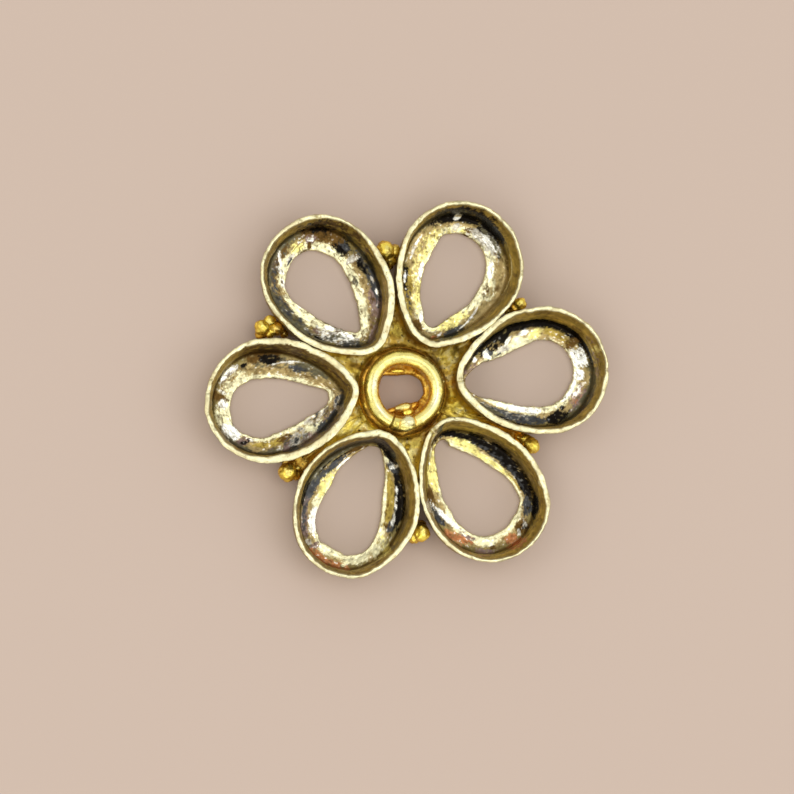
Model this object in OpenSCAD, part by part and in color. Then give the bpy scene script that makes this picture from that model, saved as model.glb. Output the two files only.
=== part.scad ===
// Six-cup pear bezel flower finding. Millimetres, base on z = 0, origin on the axis of the centre bore.

/* [Cups] */
// Length of the pear stone that a cup takes
stone_l = 9; // [8.6:0.1:9.2]
// Width of the pear stone that a cup takes
stone_w = 7; // [6.8:0.1:7.4]
// Height of the cups from the base to the rim
cup_h = 2.5; // [2.5:0.1:3.2]
// Thickness of the strip that the walls are bent from
wall_t = 0.42; // [0.36:0.02:0.46]
// How far a wall leans in from the rim down to the base
wall_lean = 0.35; // [0.35:0.05:0.45]
// Thickness of the ledge that the stone rests on
ledge_t = 0.45; // [0.35:0.05:0.6]
// Radius of the solder fillet between the wall and the ledge
fillet_r = 0.25; // [0.15:0.05:0.3]

/* [Back plate] */
// Thickness of the plate that carries the cups round the middle
plate_t = 0.45; // [0.35:0.05:0.45]
// Radius of the plate's middle, before the cups are cut out of it
plate_r = 5.6; // [5:0.1:6]
// Radius of the round bore in the middle of the plate
bore_r = 1.4; // [1.2:0.1:1.6]
// Width of the arms that reach out between the cups, before the cups are cut out
arm_w = 1.6; // [1:0.1:2]

/* [Centre ring] */
// Radius of the lower ring, at the middle of its wire
lower_ring_r = 2.4; // [2.3:0.05:2.5]
// Radius of the lower ring's wire
lower_wire_r = 0.48; // [0.4:0.02:0.5]
// Radius of the upper ring, at the middle of its wire
upper_ring_r = 2.1; // [2.05:0.05:2.2]
// Radius of the upper ring's wire
upper_wire_r = 0.45; // [0.4:0.01:0.46]
// How deep the two rings are soldered into each other
ring_sink = 0.12; // [0.05:0.01:0.16]

/* [Fit] */
// Gap between neighbouring pieces
gap = 0.03; // [0.02:0.01:0.04]

/* [Hidden] */
$fn = 64;

// Play of the stone in the cup, end to end and side to side
stone_play = 0.1;
// Length and width over the walls of a cup with no handwork error
cup_l = stone_l + stone_play + 2 * wall_t;
cup_w = stone_w + stone_play + 2 * wall_t;

// Distance from the middle to the centres of the cups' round ends: their points stay clear of the
// ring, and their sides clear of each other, for which the centres stand so many widths apart
tip_clearance = 0.1;
widths_apart = 1.127;
flower_r = max(
    lower_ring_r + lower_wire_r + tip_clearance + cup_l - cup_w / 2,
    widths_apart * cup_w
);

// Columns of CUPS: direction of the cup from the middle, what the handwork adds to the round end's
// distance, how far the cup is turned from its direction, what the handwork adds to its length and
// width, the radius of its point and that of its two long sides
DIR = 0;
ADD_DIST = 1;
SKEW = 2;
ADD_L = 3;
ADD_W = 4;
POINT_R = 5;
SIDE_R = 6;
CUPS = [
    [127.0, 0.00, 3.1, -0.14, -0.09, 1.60, 5.75],
    [66.2, -0.09, -2.5, -0.14, 0.26, 2.10, 7.20],
    [8.5, 0.33, 0.2, 0.06, 0.26, 2.05, 6.35],
    [-52.3, -0.05, -4.3, -0.09, -0.04, 2.40, 6.50],
    [-112.6, 0.05, 0.8, -0.14, -0.44, 1.90, 5.50],
    [-174.2, -0.02, 2.5, -0.14, -0.09, 1.20, 6.50],
];

// Columns of HOLES, one row for the hole in each cup's ledge: its length and width, the radius of
// its point and sides, how far it lies along and across the cup, and how far it is turned
HOLE_L = 0;
HOLE_W = 1;
HOLE_POINT_R = 2;
HOLE_SIDE_R = 3;
ALONG = 4;
ACROSS = 5;
TURN = 6;
HOLES = [
    [6.35, 4.00, 0.40, 12.0, 0.00, 0.10, 1.3],
    [6.40, 4.00, 0.60, 7.6, 0.28, -0.14, 0.0],
    [7.00, 4.25, 0.70, 12.0, 0.16, 0.02, 0.0],
    [6.85, 4.50, 0.45, 12.0, -0.04, 0.08, 4.0],
    [6.85, 4.10, 0.90, 12.0, -0.03, 0.10, 1.0],
    [6.60, 3.80, 0.45, 12.0, 0.29, 0.22, 3.5],
];

// Columns of ARMS: direction of each arm between two cups, and how far it reaches from the middle
ARM_DIR = 0;
ARM_REACH = 1;
ARMS = [
    [94, 6.6],
    [37, 6.2],
    [-20.5, 9.2],
    [-81, 6.2],
    [-143.5, 9.1],
    [155, 6.4],
];

// Columns of GRANULES: which cluster a ball belongs to, where it lies in a flower whose flower_r is
// ball_flower_r, its radius, and how far its lowest point is above the plate's top, more than the gap
ball_flower_r = 8.95;
CLUSTER = 0;
BALL_X = 1;
BALL_Y = 2;
BALL_R = 3;
BALL_LIFT = 4;
GRANULES = [
    [1, -1.03, 8.97, 0.70, 0.02],
    [1, -0.52, 9.05, 0.24, 0.56],
    [1, -0.72, 8.49, 0.35, 0.14],
    [2, 7.58, 5.82, 0.60, 0.45],
    [3, 8.35, -3.36, 0.69, 0.14],
    [3, 8.04, -2.93, 0.35, 0.02],
    [4, 1.23, -8.95, 0.74, 0.02],
    [4, 0.91, -9.06, 0.50, 0.06],
    [5, -7.32, -5.36, 0.66, 0.02],
    [5, -6.72, -5.59, 0.25, 0.03],
    [6, -8.95, 3.97, 0.57, 0.04],
    [6, -8.54, 4.32, 0.38, 0.22],
    [6, -8.16, 3.81, 0.44, 0.02],
    [6, -9.01, 3.44, 0.50, 0.24],
];

// Points along the arcs of an outline: the round end, each long side, and the point
END_STEPS = 20;
SIDE_STEPS = 7;
POINT_STEPS = 8;
FILLET_STEPS = 2;

// Points of an arc about c from angle a to angle b, without its last point
function arc(c, r, a, b, steps) = [
    for (i = [0 : steps - 1]) c + r * [cos(a + (b - a) * i / steps), sin(a + (b - a) * i / steps)]
];

// Pear outline, counter-clockwise: round end about the origin, point towards -X. Four arcs that
// meet smoothly: the end of radius w / 2, the point, and two long sides. grow moves it outwards.
function pear(l, w, point_r, side_r, grow = 0) =
    let (
        end_r = w / 2,
        span = l - end_r - point_r,
        end_reach = side_r - end_r,
        point_reach = side_r - point_r,
        side_x = (point_reach * point_reach - end_reach * end_reach - span * span) / (2 * span),
        side_y = sqrt(end_reach * end_reach - side_x * side_x),
        end_a = atan2(side_y, -side_x),
        point_a = atan2(side_y, -span - side_x)
    )
    concat(
        arc([0, 0], end_r + grow, -end_a, end_a, END_STEPS),
        arc([side_x, -side_y], side_r + grow, end_a, point_a, SIDE_STEPS),
        arc([-span, 0], point_r + grow, point_a, 360 - point_a, POINT_STEPS),
        arc([side_x, side_y], side_r + grow, 360 - point_a, 360 - end_a, SIDE_STEPS)
    );

function turned(points, a) = [
    for (p = points) [p.x * cos(a) - p.y * sin(a), p.x * sin(a) + p.y * cos(a)]
];

function at_height(points, z) = [for (p = points) [p.x, p.y, z]];

// Outline of a cup's outer wall, grown by grow
function wall_outline(cup, grow) =
    pear(cup_l + cup[ADD_L], cup_w + cup[ADD_W], cup[POINT_R], cup[SIDE_R], grow);

// How far the wall has leant in at height z
function lean_at(z) = wall_lean * (1 - z / cup_h);

function hole_outline(hole) = [
    for (p = turned(pear(hole[HOLE_L], hole[HOLE_W], hole[HOLE_POINT_R], hole[HOLE_SIDE_R]), hole[TURN]))
        p + [hole[ALONG], hole[ACROSS]]
];

// The rings of points round a cup, in the order that the surface passes them: up the outside, over
// the rim, down the inside, round the solder fillet, along the ledge and down through the hole
function cup_sections(cup, hole) = concat(
    [
        at_height(wall_outline(cup, -wall_lean), 0),
        at_height(wall_outline(cup, 0), cup_h),
        at_height(wall_outline(cup, -wall_t), cup_h),
    ],
    [
        for (i = [0 : FILLET_STEPS])
            let (
                a = 90 * i / FILLET_STEPS,
                z = ledge_t + fillet_r * (1 - sin(a)),
                foot = ledge_t + fillet_r,
                inset = wall_t + lean_at(foot) + fillet_r * (1 - cos(a))
            )
            at_height(wall_outline(cup, -inset), z)
    ],
    [
        at_height(hole_outline(hole), ledge_t),
        at_height(hole_outline(hole), 0),
    ]
);

// Closed skin through rings of points, the last ring joined to the first
module skin(sections) {
    rings = len(sections);
    count = len(sections[0]);
    polyhedron(
        points = [for (s = sections) for (p = s) p],
        faces = [
            for (k = [0 : rings - 1])
                for (i = [0 : count - 1])
                    let (
                        here = k * count,
                        next = (k + 1) % rings * count,
                        j = (i + 1) % count
                    )
                    for (f = [[here + i, next + i, next + j], [here + i, next + j, here + j]]) f
        ]
    );
}

// Puts its children where a cup stands, with the round end pointing outwards
module at_cup(cup) {
    rotate(cup[DIR])
        translate([flower_r + cup[ADD_DIST], 0, 0])
            rotate(cup[SKEW])
                children();
}

module bezel_cup(i) {
    color("#cdb877")
        at_cup(CUPS[i])
            skin(cup_sections(CUPS[i], HOLES[i]));
}

// What a cup takes out of the plate: its outer wall at the plate's top, and the gap round it
module cup_clearance(i) {
    at_cup(CUPS[i])
        linear_extrude(3 * plate_t, center = true)
            polygon(wall_outline(CUPS[i], gap - lean_at(plate_t)));
}

module back_plate() {
    color("#b3962f")
        difference() {
            linear_extrude(plate_t)
                union() {
                    circle(plate_r);
                    for (arm = ARMS)
                        rotate(arm[ARM_DIR])
                            translate([0, -arm_w / 2])
                                square([arm[ARM_REACH], arm_w]);
                }
            for (i = [0 : len(CUPS) - 1])
                cup_clearance(i);
            translate([0, 0, -plate_t])
                cylinder(h = 3 * plate_t, r = bore_r);
        }
}

module wire_ring(ring_r, wire_r, z) {
    translate([0, 0, z])
        rotate_extrude()
            translate([ring_r, 0])
                circle(wire_r);
}

// Height of each ring's wire: the lower one lies on the plate, the upper one nests on it
lower_ring_z = plate_t + gap + lower_wire_r;
ring_reach = lower_wire_r + upper_wire_r - ring_sink;
upper_ring_z = lower_ring_z + sqrt(pow(ring_reach, 2) - pow(lower_ring_r - upper_ring_r, 2));

module centre_ring() {
    color("#d9ab2c")
        union() {
            wire_ring(lower_ring_r, lower_wire_r, lower_ring_z);
            wire_ring(upper_ring_r, upper_wire_r, upper_ring_z);
        }
}

function mean(values) = [for (v = values) 1] * values / len(values);

// Direction from the middle of a ball's cluster to the ball
function outward(ball) =
    let (cluster = [for (b = GRANULES) if (b[CLUSTER] == ball[CLUSTER]) b])
    atan2(
        ball[BALL_Y] - mean([for (b = cluster) b[BALL_Y]]),
        ball[BALL_X] - mean([for (b = cluster) b[BALL_X]])
    );

function ball_middle(ball) =
    let (spread = flower_r / ball_flower_r)
    [
        ball[BALL_X] * spread,
        ball[BALL_Y] * spread,
        plate_t + gap + ball[BALL_LIFT] + ball[BALL_R]
    ];

// The fused balls of one cluster, which nestle between the walls of two cups; each ball is turned
// so that the seam of its surface lies clear of the balls beside it
module granule(cluster) {
    color("#d9a01f")
        union()
            for (ball = GRANULES)
                if (ball[CLUSTER] == cluster)
                    translate(ball_middle(ball))
                        rotate(outward(ball))
                            sphere(ball[BALL_R]);
}

bezel_cup(0);  // bezel_cup_1
bezel_cup(1);  // bezel_cup_2
bezel_cup(2);  // bezel_cup_3
bezel_cup(3);  // bezel_cup_4
bezel_cup(4);  // bezel_cup_5
bezel_cup(5);  // bezel_cup_6
back_plate();
centre_ring();
granule(1);  // granule_1
granule(2);  // granule_2
granule(3);  // granule_3
granule(4);  // granule_4
granule(5);  // granule_5
granule(6);  // granule_6
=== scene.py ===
import math

import bpy
import numpy as np
from mathutils import Matrix, Vector


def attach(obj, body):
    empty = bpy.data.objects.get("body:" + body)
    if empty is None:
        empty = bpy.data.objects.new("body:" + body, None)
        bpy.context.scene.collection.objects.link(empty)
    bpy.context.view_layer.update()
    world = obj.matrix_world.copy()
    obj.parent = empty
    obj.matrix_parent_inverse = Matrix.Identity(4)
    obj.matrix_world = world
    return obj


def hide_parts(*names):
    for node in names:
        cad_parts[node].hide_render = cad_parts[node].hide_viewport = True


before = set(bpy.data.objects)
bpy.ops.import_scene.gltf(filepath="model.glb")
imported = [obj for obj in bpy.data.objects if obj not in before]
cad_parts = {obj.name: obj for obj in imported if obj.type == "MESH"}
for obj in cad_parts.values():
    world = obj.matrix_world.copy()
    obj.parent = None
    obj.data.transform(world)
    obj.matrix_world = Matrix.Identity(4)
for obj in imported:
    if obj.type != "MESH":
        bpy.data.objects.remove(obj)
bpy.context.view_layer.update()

MM = 0.001


def direction(azimuth, elevation):
    """Unit vector from the middle towards a place given in degrees."""
    a, e = math.radians(azimuth), math.radians(elevation)
    return Vector((math.cos(e) * math.cos(a), math.cos(e) * math.sin(a), math.sin(e)))


def add_object(name, data):
    new = bpy.data.objects.new(name, data)
    bpy.context.scene.collection.objects.link(new)
    return new


# Camera: the photograph's direction, from almost straight above. The frame's width, the focal length
# and the place of the flower's middle in the frame are in pixels.
CAMERA_AZIMUTH, CAMERA_ELEVATION, CAMERA_DISTANCE = 208, 77.5, 0.25
FRAME_PX, FOCAL_PX = 794, 3900
ORIGIN_PX = (398.5, 393.2)
SENSOR_MM = 36


def add_camera():
    data = bpy.data.cameras.new("camera")
    data.sensor_width = SENSOR_MM
    data.lens = SENSOR_MM * FOCAL_PX / FRAME_PX
    data.shift_x = (FRAME_PX / 2 - ORIGIN_PX[0]) / FRAME_PX
    data.shift_y = (ORIGIN_PX[1] - FRAME_PX / 2) / FRAME_PX
    data.clip_start = 0.01
    camera = add_object("camera", data)
    back = direction(CAMERA_AZIMUTH, CAMERA_ELEVATION)
    right = (-back).cross(Vector((0, 1, 0))).normalized()
    up = right.cross(-back)
    turn = Matrix((right, up, back)).transposed().to_4x4()
    camera.matrix_world = Matrix.Translation(back * CAMERA_DISTANCE) @ turn
    bpy.context.scene.camera = camera


add_camera()


# Noise: what scatters the corners of its cells, how many levels they take, and each seed's shift
CORNER_FACTORS = (73856093, 19349663, 83492791)
SCRAMBLE, KEEP_BITS = 1274126177, 0x7FFFFFFF
LEVELS = 65536
SEED_SHIFT = np.array([3.1, 7.7, 5.3])


def noise(points, size, seed):
    """Smooth noise from -1 to 1 at points in mm, with features of about that size in mm."""
    p = points / size + SEED_SHIFT * (seed + 1)
    cell = np.floor(p).astype(np.int64)
    f = p - cell
    f = f * f * (3 - 2 * f)
    total = np.zeros(p.shape[:-1])
    for corner in np.ndindex(2, 2, 2):
        x, y, z = np.moveaxis((cell + corner) * CORNER_FACTORS, -1, 0)
        h = x ^ y ^ z
        h = (h ^ (h >> 13)) * SCRAMBLE & KEEP_BITS
        weight = np.prod(np.where(np.array(corner) == 1, f, 1 - f), axis=-1)
        total += weight * (h % LEVELS) / (LEVELS - 1)
    return total * 2 - 1


def layered(points, *layers):
    """Sum of noises, each given as its height, its size and its seed."""
    return sum(height * noise(points, size, seed) for height, size, seed in layers)


def step(low, high, x):
    """0 below low, 1 above high, smooth between."""
    t = np.clip((x - low) / (high - low), 0, 1)
    return t * t * (3 - 2 * t)


def around(rows, angle, column=1):
    """A column of rows of (angle, value, ...) at angles in degrees, in straight runs round the circle."""
    return np.interp(angle, [r[0] for r in rows], [r[column] for r in rows], period=360)


def angle_off(a, b):
    """Angle a less angle b, from -180 to 180 degrees."""
    return (a - b + 180) % 360 - 180


def rotated(x, y, a):
    """x and y turned by a radians about the origin."""
    return x * math.cos(a) - y * math.sin(a), x * math.sin(a) + y * math.cos(a)


# Finishes: linear base colour and roughness of each look that the worn gilding has. Where marked, the pale
# finishes also serve as painted highlights and the dark ones as painted shade
FINISHES = {
    "cream": (0.86, 0.8, 0.48, 0.32),
    "white": (0.97, 0.94, 0.8, 0.24),
    "yellow": (0.92, 0.8, 0.27, 0.3),
    "gold": (0.98, 0.77, 0.12, 0.3),
    "amber": (0.98, 0.68, 0.1, 0.28),
    "russet": (0.3, 0.12, 0.012, 0.34),
    "tan": (0.46, 0.34, 0.14, 0.42),
    "olive": (0.43, 0.31, 0.065, 0.42),
    "moss": (0.13, 0.115, 0.065, 0.36),
    "brown": (0.13, 0.07, 0.018, 0.4),
    "black": (0.01, 0.008, 0.006, 0.25),
    "steel": (0.065, 0.065, 0.063, 0.34),
    "silver": (0.52, 0.48, 0.38, 0.28),
    "mauve": (0.26, 0.18, 0.15, 0.38),
    "copper": (0.52, 0.21, 0.08, 0.34),
    "orange": (0.78, 0.42, 0.05, 0.32),
}


class Paint:
    """The colour and roughness of every point of a piece, painted finish by finish."""

    def __init__(self, shape, finish):
        self.values = np.full((*shape, 4), FINISHES[finish])

    def add(self, finish, mask):
        mask = np.clip(mask, 0, 1)[..., None]
        self.values += (np.array(FINISHES[finish]) - self.values) * mask

    def shade(self, factor):
        self.values[..., :3] = np.clip(self.values[..., :3] * factor[..., None], 0, 0.98)


def grid_normals(p):
    """Unit normals of a grid of points that closes along its second axis."""
    across = np.gradient(p, axis=0)
    along = np.roll(p, -1, axis=1) - np.roll(p, 1, axis=1)
    n = np.cross(along, across)
    return n / np.maximum(np.linalg.norm(n, axis=-1, keepdims=True), 1e-9)


def grid_faces(rows, columns, closed):
    """Quads of a grid that closes along its columns, and along its rows too if closed."""
    r, c = np.indices((rows if closed else rows - 1, columns))
    r2, c2 = (r + 1) % rows, (c + 1) % columns
    corners = [r * columns + c, r * columns + c2, r2 * columns + c2, r2 * columns + c]
    return np.stack(corners, -1).reshape(-1, 4)


def sphere_grid(rows, columns, last_latitude):
    """Points of a unit sphere, row by row up to a latitude in degrees at either pole."""
    b = np.radians(np.linspace(-last_latitude, last_latitude, rows))[:, None]
    a = np.arange(columns) / columns * 2 * math.pi
    return np.stack([np.cos(b) * np.cos(a), np.cos(b) * np.sin(a), np.sin(b) * np.ones(columns)], -1)


def mesh_piece(name, points, faces, finishes, material, body="root"):
    """A mesh object from points in mm, with its finishes in the attribute that the materials read."""
    mesh = bpy.data.meshes.new(name)
    mesh.from_pydata((points * MM).tolist(), [], faces.tolist())
    mesh.validate()
    finish = mesh.attributes.new("finish", "FLOAT_COLOR", "POINT")
    finish.data.foreach_set("color", finishes.ravel())
    mesh.shade_smooth()
    mesh.materials.append(material)
    piece = add_object(name, mesh)
    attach(piece, body)
    return piece


def add_material(name):
    """A new material and its shader."""
    material = bpy.data.materials.new(name)
    material.use_nodes = True
    return material, material.node_tree.nodes["Principled BSDF"]


# Materials: each mixes the painted finish with its own fine wear and dirty pits, all in nodes.
DIRT = (0.05, 0.035, 0.015, 1)
# Places of a colour mix's factor, colours and result among its sockets
MIX_FACTOR, MIX_A, MIX_B, MIX_RESULT = 0, 6, 7, 2


def metal(name, grain, mottle, pit, bump, gloss, metallic=1.0):
    """A metal that reads the painted finish. grain and mottle are feature sizes in mm. The higher pit
    is, the fewer dark pits there are. bump is the relief in mm, and gloss what the roughness gains."""
    material, shader = add_material(name)
    nodes, links = material.node_tree.nodes, material.node_tree.links
    shader.inputs["Metallic"].default_value = metallic

    def node(kind, **values):
        new = nodes.new(kind)
        for key, value in values.items():
            setattr(new, key, value)
        return new

    def texture(size, detail):
        new = node("ShaderNodeTexNoise")
        new.inputs["Scale"].default_value = 1 / (size * MM)
        new.inputs["Detail"].default_value = detail
        new.inputs["Roughness"].default_value = 0.6
        links.new(place.outputs["Object"], new.inputs["Vector"])
        return new.outputs["Fac"]

    def ranged(value, *limits):
        """Smooth run from two limits to two others."""
        new = node("ShaderNodeMapRange", interpolation_type="SMOOTHSTEP")
        for socket, number in zip(("From Min", "From Max", "To Min", "To Max"), limits):
            new.inputs[socket].default_value = number
        links.new(value, new.inputs["Value"])
        return new.outputs["Result"]

    def blend(kind, factor, a, b):
        new = node("ShaderNodeMix", data_type="RGBA", blend_type=kind)
        for index, value in ((MIX_FACTOR, factor), (MIX_A, a), (MIX_B, b)):
            if hasattr(value, "is_linked"):
                links.new(value, new.inputs[index])
            else:
                new.inputs[index].default_value = value
        return new.outputs[MIX_RESULT]

    place = node("ShaderNodeTexCoord")
    painted = node("ShaderNodeAttribute", attribute_name="finish")
    fine, broad = texture(grain, 4), texture(mottle, 3)
    shade = ranged(broad, 0.3, 0.7, 0.82, 1.1)
    grey = node("ShaderNodeCombineColor")
    for channel in grey.inputs:
        links.new(shade, channel)
    colour = blend("MULTIPLY", 1.0, painted.outputs["Color"], grey.outputs["Color"])
    pits = ranged(fine, 0.5 - pit, 0.5 - pit - 0.08, 0, 0.85)
    links.new(blend("MIX", pits, colour, DIRT), shader.inputs["Base Color"])

    rough = node("ShaderNodeMath", operation="ADD", use_clamp=True)
    links.new(painted.outputs["Alpha"], rough.inputs[0])
    links.new(ranged(fine, 0.3, 0.7, gloss - 0.06, gloss + 0.1), rough.inputs[1])
    links.new(rough.outputs[0], shader.inputs["Roughness"])

    relief = node("ShaderNodeBump")
    relief.inputs["Strength"].default_value = 0.6
    relief.inputs["Distance"].default_value = bump * MM
    links.new(fine, relief.inputs["Height"])
    links.new(relief.outputs["Normal"], shader.inputs["Normal"])
    return material


CUP_METAL = metal("worn_gilt", grain=0.16, mottle=0.7, pit=0.16, bump=0.03, gloss=0.02)
WEB_METAL = metal("cast_gilt", grain=0.22, mottle=0.5, pit=0.1, bump=0.06, gloss=0.06)
RING_METAL = metal("polished_gilt", grain=0.25, mottle=0.9, pit=0.25, bump=0.02, gloss=-0.08, metallic=0.85)
BALL_METAL = metal("satin_gilt", grain=0.2, mottle=0.6, pit=0.27, bump=0.03, gloss=0.0, metallic=0.95)


# The cups' outlines, as in the CAD source, in mm
WALL_T, WALL_LEAN, CUP_H = 0.42, 0.35, 2.5
LEDGE_T, FILLET_R = 0.45, 0.25
# How much higher the hammered ledge stands along the wall than at its hole
DISH = 0.16
# How far the rounded lip of the hole reaches
LIP = 0.09
# Points along the arcs of an outline: the round end, one long side, the point and the other side
STEPS = (200, 90, 100, 90)
# Angles in a cup run round this place, with 0 at the middle of its round end and 180 at its point.
PIVOT = np.array([-1.0, 0.0])

# Direction of each cup, distance of its round end, how far it is turned, its length and width over
# the walls, and the radii of its point and long sides
CUPS = [
    (127.0, 8.95, 3.1, 9.80, 7.85, 1.60, 5.75),
    (66.2, 8.86, -2.5, 9.80, 8.20, 2.10, 7.20),
    (8.5, 9.28, 0.2, 10.00, 8.20, 2.05, 6.35),
    (-52.3, 8.90, -4.3, 9.85, 7.90, 2.40, 6.50),
    (-112.6, 9.00, 0.8, 9.80, 7.50, 1.90, 5.50),
    (-174.2, 8.93, 2.5, 9.80, 7.85, 1.20, 6.50),
]

# Length, width, point radius, side radius, shift along and across, and turn of each ledge's hole
HOLES = [
    (6.35, 4.00, 0.40, 12.0, 0.00, 0.10, 1.3),
    (6.40, 4.00, 0.60, 7.6, 0.28, -0.14, 0.0),
    (7.00, 4.25, 0.70, 12.0, 0.16, 0.02, 0.0),
    (6.85, 4.50, 0.45, 12.0, -0.04, 0.08, 4.0),
    (6.85, 4.10, 0.90, 12.0, -0.03, 0.10, 1.0),
    (6.60, 3.80, 0.45, 12.0, 0.29, 0.22, 3.5),
]

# Rims: angle, how far the hand-bent edge stands out and the rim's width in mm
RIMS = [[
    (0, -0.05, 0.3), (30, 0.1, 0.25), (60, 0.05, 0.3), (90, -0.05, 0.35), (110, 0, 0.4), (150, 0, 0.4),
    (170, 0.1, 0.4), (195, -0.1, 0.45), (235, 0, 0.45), (265, -0.1, 0.4), (300, -0.05, 0.2), (330, 0.05, 0.3),
], [
    (0, 0.05, 0.25), (45, -0.05, 0.3), (80, -0.1, 0.35), (120, 0, 0.45), (160, -0.1, 0.4), (190, 0.05, 0.4),
    (225, 0.1, 0.4), (255, 0.05, 0.25), (285, 0.1, 0.25), (320, 0, 0.25),
], [
    (0, 0, 0.2), (30, 0.05, 0.25), (70, 0.1, 0.3), (90, 0.05, 0.25), (105, 0.1, 0.35), (135, -0.05, 0.4),
    (165, 0.1, 0.45), (200, -0.1, 0.45), (255, -0.1, 0.4), (280, -0.05, 0.35), (310, 0, 0.25),
    (330, -0.05, 0.25), (345, 0, 0.3),
], [
    (0, -0.05, 0.2), (40, 0, 0.25), (60, -0.05, 0.4), (100, 0, 0.35), (125, 0, 0.4), (145, -0.05, 0.35),
    (170, 0.1, 0.3), (215, 0.05, 0.3), (245, 0.1, 0.25), (265, 0.15, 0.3), (285, 0.1, 0.3),
    (305, -0.05, 0.25),
], [
    (0, 0, 0.25), (25, 0, 0.25), (45, -0.15, 0.25), (65, -0.05, 0.35), (90, 0, 0.3), (125, -0.05, 0.35),
    (155, 0, 0.3), (190, -0.05, 0.45), (215, -0.1, 0.25), (250, 0, 0.25), (270, 0.1, 0.3), (290, 0, 0.25),
    (315, 0.05, 0.3),
], [
    (0, 0.1, 0.3), (15, 0.15, 0.3), (45, 0.05, 0.35), (80, 0.05, 0.5), (150, 0.1, 0.5), (180, 0.05, 0.4),
    (210, 0.1, 0.45), (230, 0, 0.45), (245, 0.1, 0.45), (285, 0.05, 0.4), (315, -0.05, 0.25), (345, 0, 0.3),
]]

# Hole edges: angle, and the share of the way from the wall to the hole's outline that the ledge reaches
EDGES = [[
    (0, 1), (15, 1.08), (30, 1.08), (45, 0.97), (60, 1), (90, 1.07), (120, 1), (165, 1), (180, 1.15),
    (200, 1.02), (240, 0.99), (285, 1.04), (325, 1.13), (345, 1),
], [
    (0, 1), (15, 0.9), (30, 0.9), (45, 1.06), (60, 1.1), (80, 1), (105, 0.97), (150, 0.95), (170, 1.1),
    (185, 0.97), (210, 1.08), (235, 1), (255, 0.92), (280, 1), (315, 1.12), (340, 1.05),
], [
    (0, 1), (10, 0.95), (22, 0.9), (45, 0.92), (60, 0.95), (75, 1.05), (120, 1.1), (145, 1.05), (158, 0.8),
    (175, 0.6), (195, 0.75), (205, 0.98), (240, 0.98), (270, 0.96), (300, 1), (335, 1.1),
], [
    (0, 1.1), (20, 1.1), (35, 0.95), (48, 0.78), (60, 0.98), (90, 1.04), (110, 1.1), (135, 1.02), (165, 1.1),
    (175, 1.08), (182, 0.62), (190, 0.65), (205, 0.85), (255, 0.88), (275, 1.03), (310, 1.12), (340, 1.05),
], [
    (0, 1.1), (14, 0.92), (30, 0.87), (45, 0.87), (60, 1.07), (90, 1), (120, 1.06), (145, 1.02), (163, 0.85),
    (173, 0.35), (188, 0.4), (200, 0.75), (225, 0.82), (240, 0.95), (330, 0.97), (338, 0.87), (350, 1.08),
], [
    (0, 1.1), (20, 0.99), (35, 0.98), (42, 1.07), (60, 1), (150, 0.98), (170, 0.8), (180, 1.08), (200, 1.1),
    (240, 0.99), (290, 0.99), (320, 1.07), (345, 1.05),
]]
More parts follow.
